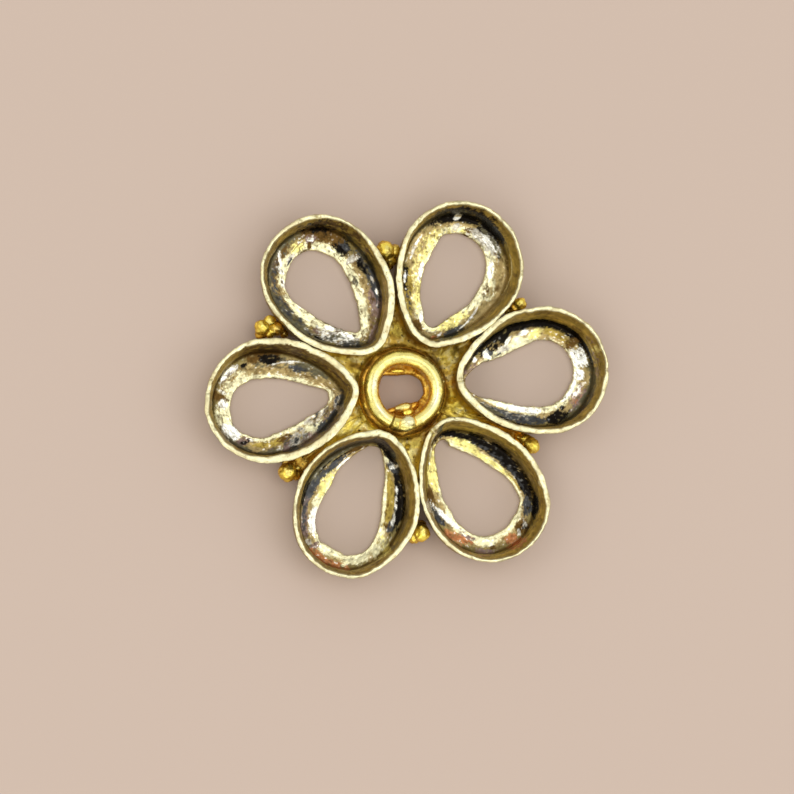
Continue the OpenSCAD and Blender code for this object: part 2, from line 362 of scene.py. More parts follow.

# Stains and painted light: the white rows are painted glints and highlights, and the black, brown and
# moss bands along the wall's foot are oxide with painted shade. Places across the section run from 0 to
# 100 over the rim, to 200 down the wall and to 300 along the ledge. Columns: middle angle, middle place
# across, half-sizes in degrees and across, slant in degrees for each 100 across if it isn't 0, finish,
# and percentage of the mark that the finish covers.
STAINS_AND_PAINTED_LIGHT = [[
    (70, 214, 90, 34, "moss", 85), (20, 242, 26, 20, "brown", 60), (16, 242, 3, 26, 22, "white", 90),
    (27, 268, 3, 28, 6, "white", 80), (8, 286, 7, 12, "silver", 80), (12, 294, 5, 5, "steel", 70),
    (40, 284, 6, 14, 10, "white", 80), (50, 255, 6, 40, 6, "tan", 90), (95, 245, 34, 14, "olive", 45),
    (100, 280, 42, 24, "cream", 95), (125, 246, 6, 14, 10, "mauve", 70), (128, 222, 9, 5, "black", 80),
    (152, 260, 22, 42, 10, "white", 80), (146, 245, 8, 22, 14, "steel", 50),
    (160, 235, 6, 25, 10, "steel", 50), (165, 190, 18, 50, 10, "steel", 60),
    (188, 195, 9, 50, 20, "mauve", 60), (195, 280, 18, 28, "cream", 95), (222, 218, 20, 32, "mauve", 80),
    (250, 212, 34, 20, "steel", 80), (268, 224, 14, 18, "black", 70), (231, 210, 4, 6, "white", 100),
    (246, 215, 5, 4, "silver", 90), (246, 250, 16, 16, "tan", 60), (254, 280, 10, 12, "steel", 50),
    (283, 248, 5, 30, 8, "silver", 95), (303, 242, 13, 36, 4, "black", 85), (300, 230, 8, 14, "steel", 60),
    (325, 220, 20, 35, "brown", 95), (338, 250, 6, 22, 8, "mauve", 80), (338, 250, 4, 10, "white", 90),
    (341, 275, 3, 20, 8, "brown", 80), (354, 265, 8, 25, 6, "yellow", 60), (222, 135, 30, 30, "tan", 80),
    (262, 145, 20, 40, "olive", 70), (325, 160, 20, 60, "black", 60), (300, 135, 30, 35, "brown", 50),
    (152, 255, 24, 30, "moss", 35), (60, 250, 60, 12, "moss", 35), (275, 185, 30, 20, "moss", 60),
    (262, 280, 16, 12, "moss", 45), (62, 236, 46, 18, "steel", 50),
], [
    (18, 170, 38, 55, "black", 90), (20, 215, 28, 22, "black", 100), (18, 210, 3, 20, 6, "white", 90),
    (18, 262, 4, 24, 4, "silver", 90), (4, 275, 6, 30, 6, "brown", 70), (95, 272, 72, 34, "yellow", 75),
    (90, 250, 60, 30, "tan", 50), (70, 224, 26, 12, "tan", 80), (72, 230, 14, 6, "white", 50),
    (78, 206, 20, 5, "brown", 90), (126, 230, 32, 22, "olive", 95), (112, 220, 18, 14, "black", 75),
    (140, 235, 14, 12, "steel", 50), (112, 220, 8, 5, "white", 85), (96, 286, 18, 10, "white", 90),
    (171, 245, 7, 30, 8, "brown", 75), (169, 290, 5, 14, "white", 80), (196, 228, 8, 18, "copper", 55),
    (197, 225, 2, 18, 6, "white", 70), (206, 170, 10, 70, 8, "black", 85), (213, 218, 12, 24, "steel", 90),
    (214, 275, 22, 30, "yellow", 85), (275, 210, 42, 22, "tan", 90), (262, 175, 30, 30, "tan", 80),
    (242, 237, 5, 19, 100, "white", 90), (285, 262, 16, 30, 10, "cream", 60),
    (285, 270, 8, 20, 20, "brown", 50), (294, 180, 4, 18, -50, "cream", 90), (312, 163, 12, 5, "cream", 90),
    (312, 245, 12, 30, "tan", 70), (312, 285, 10, 16, "white", 70), (324, 234, 4, 10, "black", 80),
    (343, 255, 18, 42, 8, "silver", 90), (340, 245, 10, 30, 10, "white", 60), (354, 230, 5, 12, "black", 80),
    (348, 185, 18, 38, "black", 95), (265, 130, 60, 30, "olive", 50), (60, 180, 40, 30, "moss", 70),
    (340, 230, 16, 10, "moss", 50),
], [
    (80, 212, 78, 24, "black", 95), (18, 195, 30, 12, "black", 90), (11, 255, 10, 45, "white", 100),
    (27, 250, 5, 42, 4, "brown", 95), (45, 250, 13, 20, "olive", 90), (45, 280, 16, 12, "tan", 70),
    (68, 262, 9, 24, 6, "yellow", 95), (83, 248, 8, 13, 10, "white", 100), (94, 275, 12, 24, "cream", 95),
    (130, 250, 24, 26, "black", 70), (108, 260, 4, 16, 40, "white", 90), (120, 282, 12, 14, "silver", 80),
    (143, 262, 5, 24, 10, "white", 70), (139, 270, 3, 20, 10, "steel", 70), (140, 292, 14, 6, "steel", 60),
    (155, 232, 3, 18, 8, "white", 95), (164, 265, 7, 40, 8, "mauve", 40), (172, 220, 6, 80, 4, "mauve", 60),
    (150, 160, 14, 60, "black", 70), (238, 240, 40, 20, "silver", 90), (240, 236, 44, 24, "steel", 62),
    (232, 220, 6, 15, -217, "black", 90), (300, 228, 15, 26, "black", 90), (306, 255, 8, 22, 40, "black", 80),
    (275, 230, 14, 18, "steel", 80), (252, 280, 50, 20, "cream", 80), (252, 280, 44, 15, "white", 80),
    (330, 224, 14, 16, "mauve", 80), (333, 255, 12, 24, "mauve", 70), (333, 252, 9, 20, "copper", 55),
    (336, 260, 8, 16, "white", 50), (350, 225, 7, 30, "tan", 90), (354, 270, 6, 32, "white", 90),
    (335, 292, 18, 10, "white", 80), (12, 130, 3, 40, "yellow", 60), (335, 155, 40, 50, "mauve", 50),
    (330, 130, 30, 30, "olive", 60), (330, 190, 34, 30, "moss", 80), (215, 230, 14, 12, "moss", 80),
], [
    (4, 180, 9, 60, "copper", 60), (5, 235, 6, 34, "copper", 95), (20, 238, 9, 36, "brown", 90),
    (14, 230, 2, 20, 8, "silver", 80), (23, 225, 3, 16, 8, "silver", 70), (42, 185, 15, 28, "black", 90),
    (104, 230, 78, 34, "black", 100), (100, 246, 60, 14, "steel", 50), (40, 240, 12, 26, "steel", 70),
    (168, 230, 12, 22, -20, "black", 90), (75, 272, 16, 7, "olive", 80), (118, 286, 50, 16, "yellow", 85),
    (160, 272, 16, 24, "yellow", 80), (184, 150, 6, 60, 8, "black", 90), (194, 190, 5, 90, 10, "cream", 90),
    (215, 212, 22, 12, "olive", 95), (214, 258, 24, 30, "yellow", 90), (248, 230, 14, 16, "brown", 70),
    (256, 150, 7, 55, "white", 90), (262, 208, 10, 6, "white", 80), (275, 228, 12, 20, 20, "steel", 80),
    (284, 265, 9, 35, 68, "white", 95), (306, 242, 14, 36, 30, "copper", 80),
    (316, 280, 12, 14, 20, "mauve", 60), (336, 215, 10, 18, "mauve", 90), (340, 268, 12, 24, "cream", 90),
    (346, 235, 6, 14, "brown", 60), (310, 160, 24, 40, "copper", 35), (90, 172, 34, 30, "tan", 70),
    (135, 170, 16, 30, "tan", 60), (100, 125, 70, 35, "olive", 60), (62, 105, 3, 10, "cream", 90),
    (14, 290, 14, 10, "cream", 90),
], [
    (6, 210, 14, 36, "copper", 70), (45, 260, 34, 42, "cream", 85), (42, 230, 3, 30, 6, "tan", 70),
    (58, 240, 3, 40, 6, "olive", 50), (66, 240, 4, 40, 6, "yellow", 60), (57, 172, 10, 40, 10, "yellow", 50),
    (65, 160, 3, 45, 6, "brown", 80), (120, 268, 42, 22, "olive", 95), (118, 224, 45, 24, "black", 100),
    (84, 242, 9, 18, "steel", 80), (92, 238, 8, 7, 30, "white", 60), (102, 242, 4, 4, "silver", 80),
    (116, 241, 10, 6, 20, "white", 55), (133, 237, 4, 6, "white", 60), (84, 262, 4, 12, 8, "brown", 70),
    (110, 278, 14, 5, "brown", 50), (115, 295, 45, 9, "cream", 95), (158, 225, 8, 35, 10, "steel", 90),
    (156, 220, 2, 25, 8, "white", 80), (162, 230, 2, 30, 8, "silver", 70), (167, 255, 3, 35, 10, "cream", 90),
    (174, 185, 14, 50, -10, "black", 95), (198, 235, 12, 20, "brown", 90), (197, 262, 10, 14, "tan", 80),
    (214, 268, 9, 8, 10, "white", 90), (240, 212, 52, 16, "moss", 100), (228, 246, 20, 15, "steel", 90),
    (264, 232, 26, 18, -60, "steel", 90), (306, 225, 22, 16, "mauve", 80), (300, 225, 16, 12, "steel", 60),
    (215, 232, 12, 4, "black", 90), (238, 223, 14, 4, "black", 90), (272, 212, 24, 4, "black", 90),
    (252, 276, 26, 20, "yellow", 60), (308, 274, 20, 26, "white", 100), (285, 270, 8, 20, "cream", 90),
    (331, 230, 4, 20, 8, "silver", 80), (338, 250, 4, 35, 6, "mauve", 80), (350, 210, 12, 34, "copper", 80),
    (350, 272, 10, 24, "cream", 90), (115, 172, 40, 25, "tan", 70), (110, 125, 45, 30, "olive", 60),
    (225, 180, 50, 44, "moss", 80),
], [
    (10, 255, 12, 45, "cream", 90), (25, 250, 10, 42, "white", 95), (41, 250, 5, 48, 4, "mauve", 95),
    (43, 260, 3, 30, 6, "black", 70), (48, 285, 3, 14, "white", 60), (60, 214, 34, 20, "moss", 80),
    (60, 240, 12, 20, "tan", 70), (80, 258, 26, 18, "olive", 95), (92, 262, 14, 14, "brown", 85),
    (75, 295, 35, 8, "cream", 95), (94, 215, 8, 40, 4, "steel", 85), (125, 220, 44, 40, "mauve", 60),
    (112, 235, 14, 40, 10, "silver", 70), (108, 230, 4, 14, 14, "black", 60), (118, 225, 3, 10, "black", 50),
    (140, 242, 12, 36, 6, "cream", 95), (152, 270, 16, 24, "silver", 80), (150, 265, 8, 20, "tan", 50),
    (150, 208, 20, 20, "steel", 85), (125, 160, 36, 45, "mauve", 60), (100, 175, 8, 40, "steel", 60),
    (145, 180, 12, 30, "steel", 60), (168, 190, 6, 80, 14, "silver", 80), (178, 225, 8, 50, 12, "steel", 70),
    (195, 255, 16, 42, 8, "tan", 70), (195, 155, 5, 20, 80, "brown", 80), (262, 250, 60, 40, "tan", 100),
    (262, 245, 55, 36, "moss", 55), (216, 226, 20, 22, "moss", 80), (274, 226, 17, 24, "black", 95),
    (255, 235, 4, 21, 115, "white", 100), (275, 266, 12, 5, "brown", 90), (262, 275, 50, 20, "tan", 55),
    (262, 293, 50, 7, "cream", 90), (294, 222, 7, 24, "brown", 80), (306, 236, 5, 10, "black", 80),
    (324, 222, 12, 18, "white", 85), (330, 265, 16, 28, "cream", 60), (348, 230, 4, 70, 5, "brown", 100),
    (343, 250, 1.5, 30, 6, "white", 70), (355, 268, 5, 26, 4, "white", 95), (250, 145, 60, 60, "brown", 60),
    (215, 120, 20, 30, "tan", 40), (320, 150, 14, 60, "olive", 60), (112, 245, 20, 25, "steel", 40),
    (152, 255, 18, 30, "steel", 35), (228, 245, 16, 14, "steel", 40), (270, 195, 30, 16, "brown", 70),
]]

# Where the pale gilding begins on each ledge, from 2 at its foot to 3 at its hole, and how dirty and
# scratched the ledge is
PALE_FROM = (2.58, 2.52, 2.66, 2.66, 2.62, 2.7)
LEDGE_WEAR = (1.0, 0.7, 0.6, 0.35, 0.5, 0.9)

# Nicks in the rims: angle, half-width in degrees, share of the rim's width that they reach in, and
# depth in mm
NICKS = [[
    (331, 2.5, 0.7, 0.2), (62, 1.5, 0.8, 0.12), (300, 2, 0.5, 0.1), (345, 1.2, 0.3, 0.12),
], [
    (57, 1.2, 0.4, 0.16), (302, 1.4, 0.6, 0.18), (347, 1, 0.3, 0.1), (22, 1, 0.2, 0.08),
], [
    (35, 1.5, 0.3, 0.1), (178, 1.6, 0.9, 0.12), (319, 1.2, 0.5, 0.08), (355, 1, 0.4, 0.08),
], [
    (187, 2.2, 0.9, 0.3), (167, 1.2, 0.4, 0.1), (12, 1, 0.3, 0.06), (101, 1, 0.2, 0.08),
], [
    (275, 1.6, 0.6, 0.1), (308, 1.4, 0.5, 0.12), (168, 1.2, 0.3, 0.12), (8, 1, 0.3, 0.08),
], [
    (348, 1.2, 0.7, 0.1), (15, 2, 1, 0.1), (337, 1, 0.5, 0.14), (4, 1, 0.9, 0.08),
]]

# Rings that round off the rim's outer and inner edge: inset, drop and place across the section
OUTER_EDGE = ((0.012, 0.045, 0.02), (0.035, 0.014, 0.08), (0.07, 0, 0.16))
INNER_EDGE = ((-0.05, 0.004, 0.88), (-0.02, 0.02, 0.94), (0, 0.06, 1))
# Rings that round off the hole's lip: how much of its reach they have, and their drop
LIP_EDGE = ((0.45, 0.012), (0.8, 0.04), (1, 0.09), (1, 0.18))
# Height of a cup's underside, which the floor hides, and places of its rings from hole to wall
UNDERSIDE_Z = 0.02
UNDERSIDE = (0.1, 0.4, 0.7, 0.95)


def pear(length, width, point_r, side_r):
    """Points and outward normals round a pear: round end about the origin, point towards -X."""
    end_r = width / 2
    span = length - end_r - point_r
    end_reach, point_reach = side_r - end_r, side_r - point_r
    side_x = (point_reach**2 - end_reach**2 - span**2) / (2 * span)
    side_y = math.sqrt(end_reach**2 - side_x**2)
    end_a = math.atan2(side_y, -side_x)
    point_a = math.atan2(side_y, -span - side_x)
    turn = 2 * math.pi
    arcs = [
        ((0, 0), end_r, -end_a, end_a),
        ((side_x, -side_y), side_r, end_a, point_a),
        ((-span, 0), point_r, point_a, turn - point_a),
        ((side_x, side_y), side_r, turn - point_a, turn - end_a),
    ]
    points, normals = [], []
    for (centre, radius, start, stop), count in zip(arcs, STEPS):
        a = start + (stop - start) * np.arange(count) / count
        n = np.stack([np.cos(a), np.sin(a)], 1)
        points.append(np.array(centre) + radius * n)
        normals.append(n)
    return np.concatenate(points), np.concatenate(normals)


def hole_outline(hole):
    """Points round a ledge's hole, in its cup's own frame."""
    *shape, along, across, turn = hole
    points, _ = pear(*shape)
    x, y = rotated(points[:, 0], points[:, 1], math.radians(turn))
    return np.stack([x + along, y + across], 1)


def angle_of(p):
    return np.degrees(np.arctan2(p[..., 1] - PIVOT[1], p[..., 0] - PIVOT[0])) % 360


def lean_at(z):
    """How far the wall has leant in at height z."""
    return WALL_LEAN * (1 - z / CUP_H)


def ledge_height(share, depth):
    """Height of the ledge at a share of the way from its foot to its hole, which are depth mm apart."""
    d = np.minimum(share * depth, FILLET_R)
    fillet = FILLET_R - np.sqrt(np.maximum(FILLET_R**2 - (FILLET_R - d) ** 2, 0))
    return LEDGE_T + fillet + DISH * np.clip(1 - share / 0.7, 0, 1) ** 2 - 0.05 * step(0.1, 0.8, share)


def to_flower(points, cup):
    """Points of a cup's own frame in the flower's frame."""
    heading, distance, skew = cup[:3]
    a = math.radians(heading)
    x, y = rotated(points[..., 0], points[..., 1], math.radians(heading + skew))
    return np.stack([x + distance * math.cos(a), y + distance * math.sin(a), points[..., 2]], -1)


def cup_surface(i):
    """Points round and across cup i, and the place of each across the section: from -1 to 0 up the
    outside, to 1 over the rim, to 2 down the wall, to 3 along the ledge, and beyond that underneath."""
    outline, normal = pear(*CUPS[i][3:])
    angle = angle_of(outline)
    hole = hole_outline(HOLES[i])
    flat = np.concatenate([outline, np.full((len(outline), 1), 10.0 * i)], 1)
    ragged = layered(flat, (0.035, 0.9, i), (0.03, 0.4, i + 7), (0.02, 0.16, i + 19))
    out = around(RIMS[i], angle) + ragged
    width = around(RIMS[i], angle, 2) + layered(flat, (0.03, 0.6, i + 3), (0.03, 0.25, i + 11))
    width = np.maximum(width + 0.5 * ragged, 0.15)
    top = CUP_H - 0.03 - layered(flat, (0.03, 1.5, i + 5), (0.015, 0.4, i + 9))
    rings, shares = [], []

    def ring(flat_points, z, share):
        z = np.broadcast_to(z, len(outline))
        rings.append(np.concatenate([flat_points, z[:, None]], 1))
        shares.append(np.broadcast_to(share, len(outline)))

    def wall_ring(inset, z, share):
        inset = np.broadcast_to(inset, len(outline)) - out * np.clip(z / CUP_H, 0, 1)
        ring(outline - normal * inset[:, None], z, share)

    # Up the outside and over the rim
    wall_ring(WALL_LEAN + 0.08, 0.0, -1.02)
    wall_ring(WALL_LEAN + 0.01, 0.06, -0.98)
    for k in np.linspace(0.2, 1, 12):
        wall_ring(lean_at(k * (top - 0.09)), k * (top - 0.09), k - 1.0)
    for inset, drop, share in OUTER_EDGE:
        wall_ring(inset, top - drop, share)
    for k in np.linspace(0.3, 0.8, 5):
        wall_ring(k * width, top + 0.012 * math.sin(math.pi * k), k)
    for inset, drop, share in INNER_EDGE:
        wall_ring(width + inset, top - drop, share)

    # Down the inside to the foot of the wall
    foot_z = LEDGE_T + FILLET_R + DISH
    for k in np.linspace(0.06, 1, 16):
        z = top + (foot_z - top) * k
        wall_ring(width + (WALL_T - width) * step(0, 0.5, k) + lean_at(z), z, 1 + k)

    # Along the ledge and down through the hole
    foot = rings[-1][:, :2]
    reach = hole - foot
    depth = np.linalg.norm(reach, axis=1)
    edge = around(EDGES[i], angle_of(hole)) + layered(flat, (0.03, 0.5, i + 13), (0.02, 0.2, i + 17))
    edge = np.maximum(edge - LIP / depth, 0.2)
    for k in np.linspace(0.03, 1, 30):
        ring(foot + reach * (k * edge)[:, None], ledge_height(k * edge, depth), 2 + k * edge)
    inward = reach / depth[:, None]
    lip = foot + reach * edge[:, None]
    lip_z = ledge_height(edge, depth)
    for over, drop in LIP_EDGE:
        ring(lip + inward * over * LIP, lip_z - drop, 2 + edge + over * LIP)
    under_lip = lip + inward * 0.8 * LIP
    ring(under_lip, 0.1, 3.1)
    ring(under_lip - inward * 0.06, 0.03, 3.2)
    outer = rings[0][:, :2]
    for k in UNDERSIDE:
        ring(under_lip + (outer - under_lip) * k, UNDERSIDE_Z, 3.2 + k)
    return np.array(rings), np.array(shares)


def unrolled(points, share, i):
    """Cup i's points with their height replaced by the way down the section in mm, for its noises."""
    down = np.interp(share, [-1.1, 0, 1, 2, 3.1, 4.2], [-2.7, 0, 0.4, 2.2, 3.5, 5.5])
    return np.stack([points[..., 0], points[..., 1], down + 20.0 * i], -1)


def cup_zones(share):
    """How much each point belongs to the ledge, the inner wall, the rim and the outside."""
    ledge = step(2.05, 2.25, share) * (1 - step(3, 3.1, share))
    wall = step(1.05, 1.2, share) * (1 - step(1.9, 2.05, share))
    rim = step(-0.1, 0.05, share) * (1 - step(0.95, 1.05, share))
    outside = 1 - step(-0.3, -0.05, share)
    return ledge, wall, rim, outside


def worn(points, share, angle, nicks, rough, streak):
    """Points of a cup with its hammer marks, the strip's drawn lines, and the nicks in its rim."""
    on_ledge, on_wall, on_rim, on_outside = cup_zones(share)
    relief = 0.035 * on_ledge + 0.018 * on_wall + 0.012 * on_rim + 0.03 * on_outside
    points = points + grid_normals(points) * (relief * rough + 0.015 * streak * on_wall)[..., None]
    for middle, half, inward, depth in nicks:
        cut = np.exp(-((angle_off(angle, middle) / half) ** 2)) * (1 - step(inward, inward + 0.5, share))
        points[..., 2] -= depth * cut * step(-0.6, -0.05, share)
    return points


def mark_mask(angle, share, wobble, middle, across, half_angle, half_across, slant=0):
    """1 inside a listed mark and 0 outside, with an edge that the wobble makes ragged."""
    off = share - across / 100
    a = (angle_off(angle, middle) - slant * off) / half_angle
    s = off / (half_across / 100)
    far = np.sqrt(a * a + s * s)
    return 1 - step(0.85, 1.15, far + 0.6 * wobble * np.minimum(far, 1))


def paint_cup(i, flat, share, angle, rough, streak):
    """Paint of cup i: its gilding and tarnish from rim to ledge with painted shade at the wall's foot, its
    stains with painted highlights and shade among them, then dirt, scratches, painted glints on the ledge and
    painted shade on the rim's edges.
    """
    on_ledge, on_wall, on_rim, on_outside = cup_zones(share)
    wobble = rough + 0.5 * noise(flat, 0.07, 24)
    paint = Paint(share.shape, "tan")
    paint.add("cream", on_rim)
    # Olive down the inner wall is tarnish with painted shade. The moss band and the brown line where wall
    # meets ledge are oxide with painted shade in that corner.
    paint.add("olive", step(1, 1.1, share))
    paint.add("moss", 0.65 * step(1.9, 2.1, share + 0.1 * wobble))
    paint.add("tan", step(2.25, 2.5, share + 0.15 * wobble))
    paint.add("cream", step(PALE_FROM[i], PALE_FROM[i] + 0.12, share + 0.15 * wobble))
    paint.add("brown", 0.5 * step(1.85, 2, share) * (1 - step(2.06, 2.16, share + 0.1 * wobble)))
    paint.add("olive", step(3.15, 3.3, share))

    patch = layered(flat, (0.6, 0.26, 39), (0.5, 0.11, 40))
    # Each row lays a stain, a painted highlight or painted shade, as the table lists.
    for *place, finish, covered in STAINS_AND_PAINTED_LIGHT[i]:
        cover = step(-0.35, 0.35, patch + 1.6 * (covered / 100 - 0.5))
        paint.add(finish, cover * mark_mask(angle, share, wobble, *place))

    pale = step(0.05, 0.25, paint.values[..., 0])
    wear = LEDGE_WEAR[i] * on_ledge * pale
    grime = step(0.3, 0.55, layered(flat, (1, 0.3, 31), (0.7, 0.12, 32)))
    paint.add("brown", 0.5 * grime * ((on_wall + on_outside) * pale + wear))
    paint.shade(1 + 0.4 * streak * (on_wall + on_outside))
    # Speckled tone over ledge, wall and rim: the darker specks are pits, and the brightest specks on the
    # ledge are painted glints.
    speck = layered(flat, (0.7, 0.2, 33), (0.35, 0.08, 34))
    paint.shade(1 + speck * (0.5 * on_ledge + 0.35 * on_wall + 0.22 * on_rim))
    crease = (1 - step(0.03, 0.11, np.abs(noise(flat, 0.42, 37)))) * step(-0.1, 0.2, noise(flat, 0.6, 38))
    paint.add("brown", 0.8 * crease * wear)
    paint.add("brown", 0.8 * step(0.45, 0.58, -speck) * wear)
    # Painted glints on the ledge
    paint.add("white", 0.8 * step(0.5, 0.6, speck) * on_ledge * (0.2 + 0.8 * pale))
    paint.add("tan", 0.6 * step(0.4, 0.55, -speck) * on_rim)
    # Tan on the rim: dull patches at random, and painted shade along its rounded inner and outer edges.
    dull_and_edge_shade = step(0, 0.6, noise(flat, 0.5, 65)) + 1.5 * step(0.35, 0.5, np.abs(share - 0.5))
    paint.add("tan", 0.35 * dull_and_edge_shade * on_rim)
    return paint


def make_cup(i):
    points, share = cup_surface(i)
    angle = angle_of(points)
    flat = unrolled(points, share, i)
    rough = layered(flat, (0.5, 0.55, 21), (0.35, 0.22, 22), (0.25, 0.11, 23))
    streak = noise(flat * [0.3, 0.3, 2.0], 0.3, 36)
    points = worn(points, share, angle, NICKS[i], rough, streak)
    paint = paint_cup(i, flat, share, angle, rough, streak)
    points = to_flower(points, CUPS[i]).reshape(-1, 3)
    faces = grid_faces(*share.shape, closed=True)
    number = i + 1
    piece = mesh_piece("worn_cup_%d" % number, points, faces, paint.values, CUP_METAL)
    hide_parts("bezel_cup_%d" % number)


for i in range(len(CUPS)):
    make_cup(i)


# The web between the cups: rough cast metal with solder drawn up the walls and the ring, in mm
WEB_T, WEB_R = 0.45, 5.6
# Its arms: direction and reach of each, and half their width
ARMS = [(94, 6.6), (37, 6.2), (-20.5, 9.2), (-81, 6.2), (-143.5, 9.1), (155, 6.4)]
ARM_HALF = 0.8
# Hole under the ring: direction and radius
BORE = [
    (0, 1.6), (30, 1.6), (50, 1.45), (75, 1.2), (95, 1.1), (115, 1.2), (135, 1.5), (155, 1.4), (175, 1.35),
    (200, 1.4), (230, 1.5), (250, 1.15), (270, 0.95), (290, 0.95), (320, 1.15), (340, 1.35),
]
# Lumps and pits: x, y, radius and height
LUMPS = [
    (0.2, -1.1, 0.35, 0.3), (-0.2, -1.25, 0.3, 0.2), (0.6, -1, 0.3, 0.18), (0.52, -3.5, 0.12, -0.25),
    (3.4, -0.42, 0.2, -0.25), (3.93, 3.01, 0.25, -0.2), (-0.26, 5.6, 0.35, 0.25), (4.6, 3.6, 0.3, 0.15),
    (-3.1, 1.6, 0.3, 0.15), (-2.6, -2.9, 0.35, 0.2), (2.9, -2.4, 0.3, 0.2), (7.2, -2.6, 0.4, 0.3),
    (-6.4, -4.5, 0.4, 0.25), (-4.8, 2.6, 0.35, 0.2), (5.6, -2, 0.3, 0.15),
]
WEB_COLUMNS, WEB_ROWS = 1080, 44
# Distances from the middle at which the walls are looked for, and how far the web runs in under them
RAYS = np.linspace(1.0, 9.3, 900)
UNDER_WALL = 0.1
# Where the solder has drawn up under the ring, and where painted shade lies in the crease beside it
RING_SOLDER_R, RING_SHADE_R = 2.8, 3.05


def wall_distance(p):
    """How far points of the flower's frame are from the nearest cup's wall, negative inside it."""
    nearest = np.full(p.shape[:-1], np.inf)
    for heading, distance, skew, *shape in CUPS:
        outline, normal = pear(*shape)
        outline = outline - normal * lean_at(WEB_T)
        a = math.radians(heading)
        dx, dy = p[..., 0] - distance * math.cos(a), p[..., 1] - distance * math.sin(a)
        x, y = rotated(dx, dy, -math.radians(heading + skew))
        wall = np.linalg.norm(outline - PIVOT, axis=1)
        reach = np.interp(angle_of(np.stack([x, y], -1)), angle_of(outline), wall, period=360)
        nearest = np.minimum(nearest, np.hypot(x - PIVOT[0], y - PIVOT[1]) - reach)
    return nearest


def web_reach(turn):
    """How far the web reaches in each direction, and whether it ends free there and not at a wall."""
    a = np.radians(turn)
    inside = wall_distance(np.stack([RAYS[:, None] * np.cos(a), RAYS[:, None] * np.sin(a)], -1)) < -UNDER_WALL
    to_wall = np.where(inside.any(0), RAYS[np.argmax(inside, axis=0)], RAYS[-1])
    reach = np.full(len(turn), WEB_R)
    for middle, length in ARMS:
        off = np.radians(angle_off(turn, middle))
        half = ARM_HALF + 0.15 * np.sin(a * 9)
        along = np.where(np.abs(off) < 1.2, length / np.maximum(np.cos(off), 0.2), 0)
        beside = np.abs(np.sin(off)) * along
        reach = np.maximum(reach, np.where(beside < half, along - 0.5 * (beside / half) ** 4, 0))
    return np.minimum(to_wall, reach), reach < to_wall


def web_surface():
    """Points round and across the web: its top, outer edge, underside and the wall of its hole."""
    turn = np.arange(WEB_COLUMNS) / WEB_COLUMNS * 360
    a = np.radians(turn)
    near = around(BORE, turn)
    far, free_end = web_reach(turn)
    radius = near + (far - near) * np.linspace(0, 1, WEB_ROWS)[:, None] ** 0.8
    x, y = radius * np.cos(a), radius * np.sin(a)
    flat = np.stack([x, y, np.zeros_like(x)], -1)
    gap = np.maximum(wall_distance(flat), 0)
    z = WEB_T + layered(flat, (0.06, 0.9, 41), (0.05, 0.35, 42), (0.02, 0.15, 43))
    z += 0.6 * np.exp(-gap / 0.22) + 0.4 * np.exp(-np.abs(radius - RING_SOLDER_R) / 0.18)
    for lump_x, lump_y, size, height in LUMPS:
        z += height * np.exp(-((x - lump_x) ** 2 + (y - lump_y) ** 2) / size**2)
    z *= step(-0.25, 0.18, radius - near) * 0.6 + 0.4
    z *= 1 - 0.4 * free_end * (1 - step(0, 0.6, far - radius))
    top = np.stack([x, y, z], -1)
    outer = [top[-1] * [1, 1, height] for height in (0.6, 0.25)]
    under = top[::-4].copy()
    under[..., 2] = 0.03
    inner = [top[0] * [1, 1, height] for height in (0.25, 0.6)]
    return np.concatenate([top, outer, under, inner])


def paint_web(points):
    """Paint of the web: gold with olive and cream grit, more olive and brown towards +y and yellower towards
    -y, painted shade in the creases along the walls and the ring, and orange towards the arms' ends.
    """
    x, y, height = np.moveaxis(points, -1, 0)
    grit = layered(points, (0.6, 0.3, 44), (0.5, 0.13, 45))
    far_out = np.hypot(x, y)
    by_wall = np.exp(-np.maximum(wall_distance(points[..., :2]), 0) / 0.16)
    by_ring = np.exp(-np.abs(far_out - RING_SHADE_R) / 0.22)
    paint = Paint(height.shape, "gold")
    paint.add("olive", (0.45 + 0.35 * step(-1, 2, y)) * step(-0.1, 0.5, -grit))
    paint.add("orange", 0.5 * step(0.1, 0.6, noise(points, 0.8, 46)))
    paint.add("yellow", 0.7 * step(0.2, 0.6, grit + noise(points, 0.6, 47) * 0.4))
    paint.add("cream", 0.5 * step(0, 0.5, grit + noise(points, 0.4, 50) * 0.6))
    paint.add("brown", 0.7 * step(0.3, 0.8, noise(points, 0.45, 48)) * (1 - step(0.45, 0.7, height)))
    paint.add("brown", 0.3 * step(0.5, 3, y) * step(-3.5, -1, x))
    paint.add("yellow", 0.35 * step(1, 4, -y))
    # Painted shade in the creases along the cup walls and beside the ring, deeper towards +x and +y.
    paint.add("russet", by_wall * (0.3 + 0.6 * step(-3, 2, x + y)))
    paint.add("russet", by_ring * (0.3 + 0.6 * step(-0.5, 0.8, x / far_out)))
    paint.add("olive", 0.25 * step(-0.5, 2, y))
    paint.add("orange", 0.6 * step(5, 7, far_out))
    paint.add("orange", 0.8 * (1 - step(1.7, 2.3, far_out)))
    paint.add("brown", 0.6 * (1 - step(0.1, 0.3, height)))
    return paint


def make_web():
    points = web_surface()
    paint = paint_web(points)
    faces = grid_faces(*points.shape[:2], closed=True)
    piece = mesh_piece("cast_web", points.reshape(-1, 3), faces, paint.values, WEB_METAL)
    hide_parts("back_plate")


make_web()


# The two wire rings, soldered into each other, with the upper one's ends meeting at the seam.
# Height and radius of each wire's middle, and the wire's radius, in mm
RINGS = {"lower": (0.96, 2.4, 0.48), "upper": (1.71, 2.12, 0.48)}
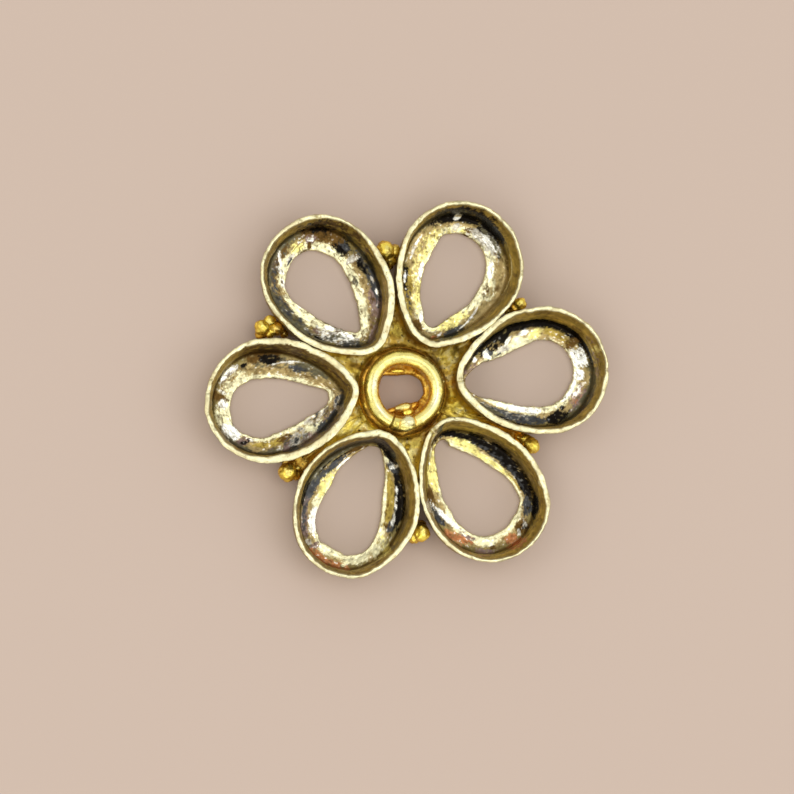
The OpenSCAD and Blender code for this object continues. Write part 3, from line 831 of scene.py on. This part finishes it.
# Dents and lumps: direction, place round the wire (0 outwards, 90 up), half-length and half-width in
# mm, height in mm, how square its sides are, finish and amount. White and cream on the crest and the
# solder ball are painted highlights, and brown and orange in the cut, the dents and under the seam are
# painted shade
RING_LUMPS = {
    "upper": [
        (-83, 112, 0.42, 0.42, 0.17, 4, "cream", 0.9), (-111, 80, 0.05, 0.9, -0.16, 2, "brown", 0.9),
        (-104, 70, 0.16, 0.3, 0.05, 2, "gold", 0.8), (-98, 85, 0.05, 0.35, -0.06, 2, "orange", 0.8),
        (-71, 105, 0.05, 0.5, -0.1, 2, "orange", 0.8), (-86, 42, 0.38, 0.18, 0.1, 4, "yellow", 0.9),
        (-94, 10, 0.5, 0.2, 0.06, 2, "brown", 0.8), (-104, 25, 0.14, 0.3, 0.02, 2, "brown", 0.8),
        (40, 90, 0.5, 0.5, 0.03, 2, "yellow", 0.6), (170, 100, 0.5, 0.2, 0.02, 2, "white", 0.5),
        (-15, 95, 0.8, 0.16, 0.02, 2, "white", 0.6), (-140, 100, 0.6, 0.14, 0.02, 2, "white", 0.5),
    ],
    "lower": [
        (14, 45, 0.1, 0.1, 0.1, 2, "yellow", 0.9), (20, 55, 0.08, 0.08, 0.08, 2, "yellow", 0.9),
        (54, 60, 0.14, 0.14, 0.12, 2, "yellow", 0.9), (-90, 40, 0.3, 0.3, 0.12, 2, "orange", 0.6),
        (130, 40, 0.2, 0.2, 0.08, 2, "gold", 0.5), (-30, 50, 0.16, 0.16, 0.08, 2, "gold", 0.6),
        (-60, 140, 0.25, 0.25, 0.12, 2, "gold", 0.6), (200, 60, 0.2, 0.2, 0.07, 2, "gold", 0.5),
    ],
}
# Solder run into the hole: middle, half-sizes along and across and up, turn in degrees, finish
SOLDER_DROPS = [
    ((0.15, -1, 0.72), (0.62, 0.3, 0.24), 16, "yellow"),
    ((-0.62, -1.22, 0.62), (0.42, 0.2, 0.22), 24, "orange"),
    ((0.85, -0.9, 0.62), (0.45, 0.25, 0.2), 30, "orange"), ((-0.2, 1.36, 0.72), (0.5, 0.16, 0.16), 0, "gold"),
    ((0.45, -1.35, 0.95), (0.4, 0.25, 0.22), 15, "gold"),
]
RING_COLUMNS, RING_ROWS = 540, 72
DROP_ROWS, DROP_COLUMNS = 24, 48


def wire_ring(name):
    """Points of a wire ring, row by row round the wire, and its paint: a painted highlight along the upper
    ring's crest, painted shade down its slopes and inner side, and painted shade on the lower ring under it.
    """
    height, radius, wire = RINGS[name]
    upper = name == "upper"
    turn = np.arange(RING_COLUMNS) / RING_COLUMNS * 360
    round_wire = np.arange(RING_ROWS) / RING_ROWS * 360
    t, w = np.meshgrid(turn, round_wire)
    a, b = np.radians(t), np.radians(w)
    up, outward = np.sin(b), np.cos(b)
    place = np.stack([np.cos(a) * 3, np.sin(a) * 3, up + 5 * upper], -1)
    paint = Paint(b.shape, "yellow" if upper else "orange")
    if upper:
        # Painted highlight and shade: yellow along the crest, gold then orange down the slopes, and orange
        # low down and on the inner side.
        edge = up + 0.15 * noise(place, 0.6, 59)
        paint.add("gold", 0.9 * (1 - step(0.6, 0.96, edge)))
        paint.add("orange", 0.9 * (1 - step(0.1, 0.75, edge)))
        paint.add("orange", 0.5 * step(0.2, 0.7, noise(place, 0.9, 53)) * (1 - step(0.2, 0.8, up)))
        paint.add("orange", 0.6 * step(0.3, 0.9, -outward))
    else:
        paint.add("gold", 0.7 * step(0.1, 0.7, noise(place, 0.35, 54)))
        # Painted shade on the lower ring's top, where the upper ring sits on it, deeper towards +x.
        shaded = 0.3 + 0.7 * step(-0.7, 0.5, np.cos(a))
        paint.add("brown", 0.7 * shaded * step(0.3, 0.9, up) * step(-0.5, 0.4, outward))
        paint.add("brown", 0.5 * step(0.1, 0.6, noise(place, 0.7, 55)))
    reach = wire + layered(place, (0.025, 1.3, 51), (0.012, 0.4, 52), (0.006, 0.15, 56))
    for at, around_wire, long, wide, lift, square, finish, amount in RING_LUMPS[name]:
        along = np.radians(angle_off(t, at)) * radius / long
        across = np.radians(angle_off(w, around_wire)) * wire / wide
        shape = np.exp(-((along**2 + across**2) ** (square / 2)))
        reach += lift * shape
        paint.add(finish, amount * shape)
    out = radius + reach * outward + 0.03 * np.sin(3 * a + 1)
    return np.stack([out * np.cos(a), out * np.sin(a), height + reach * up], -1), paint


def solder_drop(middle, sizes, turn, finish):
    """Points of a drop of solder, row by row up it, and its paint, with painted shade on its lower half."""
    unit = sphere_grid(DROP_ROWS, DROP_COLUMNS, last_latitude=88)
    p = unit * sizes
    p = p * (1 + layered(p + middle, (0.1, 0.3, 57), (0.05, 0.12, 58)))[..., None]
    x, y = rotated(p[..., 0], p[..., 1], math.radians(turn))
    paint = Paint(unit.shape[:2], finish)
    # Painted shade: orange on the drop's lower half
    paint.add("orange", 0.8 * (1 - step(0.2, 0.7, unit[..., 2])))
    return np.stack([x, y, p[..., 2]], -1) + middle, paint


def make_ring():
    surfaces = [(*wire_ring(name), True) for name in RINGS]
    surfaces += [(*solder_drop(*drop), False) for drop in SOLDER_DROPS]
    points, faces, finishes, start = [], [], [], 0
    for grid, paint, closed in surfaces:
        rows, columns = grid.shape[:2]
        points.append(grid.reshape(-1, 3))
        faces.append(grid_faces(rows, columns, closed)[:, ::-1 if closed else 1] + start)
        finishes.append(paint.values.reshape(-1, 4))
        start += rows * columns
    parts = (np.concatenate(part) for part in (points, faces, finishes))
    piece = mesh_piece("wire_rings", *parts, RING_METAL)
    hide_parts("centre_ring")


make_ring()


# The gold balls in each notch: middle and radius of each in mm, and its finish
BALLS = [[
    (-1.08, 9.02, 1.2, 0.62, "gold"), (-0.5, 9, 1.18, 0.45, "gold"), (-0.8, 8.5, 0.95, 0.48, "gold"),
    (-0.78, 8.1, 0.72, 0.3, "orange"), (-0.2, 9.05, 1.1, 0.25, "orange"),
], [
    (7.72, 5.8, 1.2, 0.44, "gold"), (7.4, 5.55, 1, 0.38, "orange"), (7.1, 5.35, 0.8, 0.3, "orange"),
], [
    (8.43, -3.33, 1.2, 0.56, "gold"), (8.1, -2.95, 0.95, 0.42, "gold"), (7.75, -2.8, 0.75, 0.32, "orange"),
], [
    (1.22, -9.02, 1.15, 0.6, "gold"), (0.88, -9.15, 0.95, 0.52, "gold"), (1.28, -8.55, 0.85, 0.36, "orange"),
    (1.55, -9.05, 0.85, 0.38, "gold"),
], [
    (-7.38, -5.3, 1.15, 0.6, "gold"), (-6.74, -5.02, 1.15, 0.2, "gold"), (-6.78, -5.5, 1, 0.3, "orange"),
    (-7.02, -4.75, 0.85, 0.32, "orange"), (-6.6, -5.25, 0.8, 0.28, "orange"),
], [
    (-9.05, 3.92, 1.15, 0.5, "gold"), (-8.55, 4.33, 1.12, 0.4, "gold"), (-8.05, 3.85, 0.95, 0.45, "orange"),
    (-9.12, 3.48, 0.95, 0.34, "orange"), (-7.6, 3.58, 0.75, 0.28, "orange"), (-8.5, 3.66, 0.98, 0.4, "gold"),
]]
BALL_ROWS, BALL_COLUMNS = 24, 40
VOXEL_MM = 0.035


def fused(balls):
    """Points, normals and faces of balls melted into each other, in mm."""
    unit = sphere_grid(BALL_ROWS, BALL_COLUMNS, last_latitude=89)
    sides = grid_faces(BALL_ROWS, BALL_COLUMNS, closed=False).tolist()
    low = list(range(BALL_COLUMNS))[::-1]
    high = list(range((BALL_ROWS - 1) * BALL_COLUMNS, BALL_ROWS * BALL_COLUMNS))
    fans = [[cap[0], cap[k], cap[k + 1]] for cap in (low, high) for k in range(1, BALL_COLUMNS - 1)]
    points, faces = [], []
    for *middle, radius, _ in balls:
        faces += [[len(points) + corner for corner in face] for face in sides + fans]
        points += (unit * radius + middle).reshape(-1, 3).tolist()
    mesh = bpy.data.meshes.new("melt")
    mesh.from_pydata(points, [], faces)
    source = add_object("melt", mesh)
    remesh = source.modifiers.new("melt", "REMESH")
    remesh.mode, remesh.voxel_size = "VOXEL", VOXEL_MM
    smooth = source.modifiers.new("smooth", "SMOOTH")
    smooth.factor, smooth.iterations = 0.5, 8
    shown = source.evaluated_get(bpy.context.evaluated_depsgraph_get()).to_mesh()
    points, normals = np.zeros((2, len(shown.vertices) * 3))
    shown.vertices.foreach_get("co", points)
    shown.vertices.foreach_get("normal", normals)
    faces = np.zeros(len(shown.polygons) * 4, np.int32)
    shown.polygons.foreach_get("vertices", faces)
    bpy.data.objects.remove(source)
    return points.reshape(-1, 3), normals.reshape(-1, 3), faces.reshape(-1, 4)


def make_balls(cluster, balls):
    points, normals, faces = fused(balls)
    relief = layered(points, (0.05, 0.45, 61), (0.045, 0.2, 62))
    points = points + normals * relief[:, None]
    *middles, radii, finish = map(np.array, zip(*balls))
    near = np.linalg.norm(points[:, None] - np.stack(middles, 1), axis=2) / radii
    solder = (finish == "orange")[np.argmin(near, axis=1)]
    closest = np.sort(near, axis=1)
    seam = 1 - step(0.04, 0.28, closest[:, 1] - closest[:, 0])
    up = normals[:, 2] + 0.25 * noise(points, 0.3, 66)
    # Painted highlight and shade: gold on upper faces with a yellow highlight on top, orange and dark
    # red-brown down the sides, in the seams between balls and underneath, and brown at the foot. The dark
    # red-brown specks lie at random.
    paint = Paint(points.shape[:1], "amber")
    paint.add("orange", 0.6 * solder + 0.6 * (1 - step(-0.3, 0.3, up)))
    paint.add("gold", 0.8 * step(0.3, 0.8, up) * ~solder)
    paint.add("yellow", 0.6 * step(0.85, 1, up))
    paint.add("russet", 0.3 * seam + 0.6 * (1 - step(-0.6, 0.1, up)))
    paint.add("russet", 0.4 * step(0.35, 0.6, layered(points, (1, 0.2, 63), (0.4, 0.5, 64))))
    paint.add("brown", 0.6 * (1 - step(0.3, 0.7, points[:, 2])))
    piece = mesh_piece("gold_balls_%d" % cluster, points, faces, paint.values, BALL_METAL)
    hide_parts("granule_%d" % cluster)


for cluster, balls in enumerate(BALLS, 1):
    make_balls(cluster, balls)


# Studio: a plain pale floor, a soft light overhead where the flat rims mirror it, and three lower ones
FLOOR_HALF, FLOOR_Z = 1.5, -0.00003
FLOOR_COLOUR = (0.55, 0.43, 0.35, 1)
WORLD_STRENGTH = 0.85
LIGHT_DISTANCE = 0.6
# Name, azimuth, elevation, size and power of each light
LIGHTS = [
    ("overhead", 28, 77.5, 0.3, 0.38),
    ("left", 170, 45, 0.35, 0.45),
    ("right", -20, 45, 0.35, 0.45),
    ("front", 250, 40, 0.35, 0.45),
]


def add_floor():
    mesh = bpy.data.meshes.new("floor")
    corners = [(x * FLOOR_HALF, y * FLOOR_HALF, FLOOR_Z) for x, y in ((-1, -1), (1, -1), (1, 1), (-1, 1))]
    mesh.from_pydata(corners, [], [(0, 1, 2, 3)])
    material, shader = add_material("paper")
    shader.inputs["Base Color"].default_value = FLOOR_COLOUR
    shader.inputs["Roughness"].default_value = 0.9
    mesh.materials.append(material)
    floor = add_object("floor", mesh)


def add_light(name, azimuth, elevation, size, power):
    data = bpy.data.lights.new(name, "AREA")
    data.shape, data.size, data.energy = "SQUARE", size, power
    light = add_object(name, data)
    towards = direction(azimuth, elevation)
    light.location = towards * LIGHT_DISTANCE
    light.rotation_euler = towards.to_track_quat("Z", "Y").to_euler()


def add_world():
    world = bpy.data.worlds.new("studio")
    world.use_nodes = True
    background = world.node_tree.nodes["Background"]
    background.inputs["Color"].default_value = (1, 1, 1, 1)
    background.inputs["Strength"].default_value = WORLD_STRENGTH
    bpy.context.scene.world = world
    bpy.context.scene.view_settings.view_transform = "Standard"


add_floor()
for light in LIGHTS:
    add_light(*light)
add_world()
